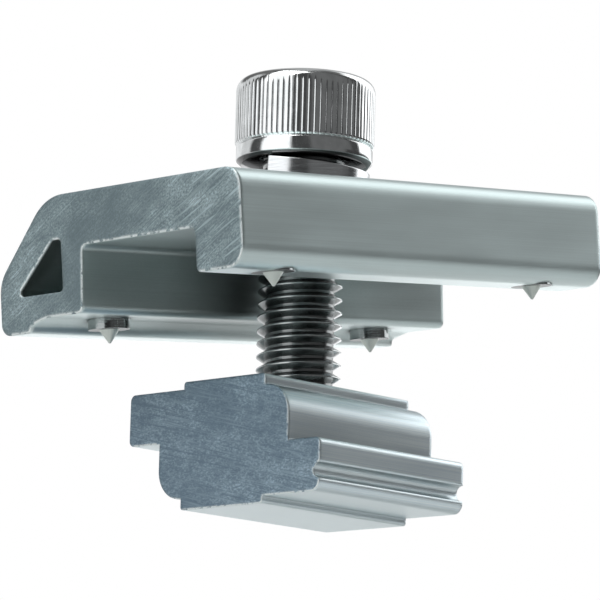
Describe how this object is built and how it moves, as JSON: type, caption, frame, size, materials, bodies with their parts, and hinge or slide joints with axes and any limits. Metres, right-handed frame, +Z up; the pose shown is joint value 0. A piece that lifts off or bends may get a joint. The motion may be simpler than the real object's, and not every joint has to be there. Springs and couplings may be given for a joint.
{
  "type": "solar rail clamp",
  "caption": "Extruded aluminium clamp for a solar mounting rail, with grounding pins, a knurled socket-head screw, a split spring washer and a winged slot nut.",
  "frame": {"origin": "centre of the clamping hole in the clamp's top face", "axes": "+Z up out of the top face, +X towards the leg's outer face, +Y along the extrusion"},
  "size_m": [0.0311, 0.05, 0.0433],
  "materials": {
    "clamp_aluminium": "satin mill finish with sawn ends",
    "nut_aluminium": "mill finish with sawn ends",
    "pin_steel": "turned stainless steel",
    "washer_steel": "polished spring steel",
    "screw_steel": "polished stainless steel, knurled head"
  },
  "bodies": {
    "clamp": {"clamp_body": "clamp_aluminium", "grounding_pin_foot_front": "pin_steel", "grounding_pin_foot_back": "pin_steel", "grounding_pin_leg_front": "pin_steel", "grounding_pin_leg_back": "pin_steel"},
    "washer": {"spring_washer": "washer_steel"},
    "screw": {"cap_screw": "screw_steel"},
    "nut": {"slot_nut": "nut_aluminium"}
  },
  "joints": [
    {"name": "screw_lift", "type": "slide", "parent": "clamp", "child": "washer", "axis": [0, 0.1149, 0.9934], "range_m": [0, 0.0025]},
    {"name": "screw_turn", "type": "hinge", "parent": "washer", "child": "screw", "pos_m": [0, 0.00065, 0.00311], "axis": [0, 0.1149, 0.9934], "range_deg": [-720, 360]},
    {"name": "nut_travel", "type": "slide", "parent": "washer", "child": "nut", "axis": [0, 0.1149, 0.9934], "range_m": [-0.00125, 0.0025]}
  ],
  "couplings": [
    {"joint": "nut_travel", "follows": "screw_turn", "m_per_rad": -0.00019894}
  ]
}
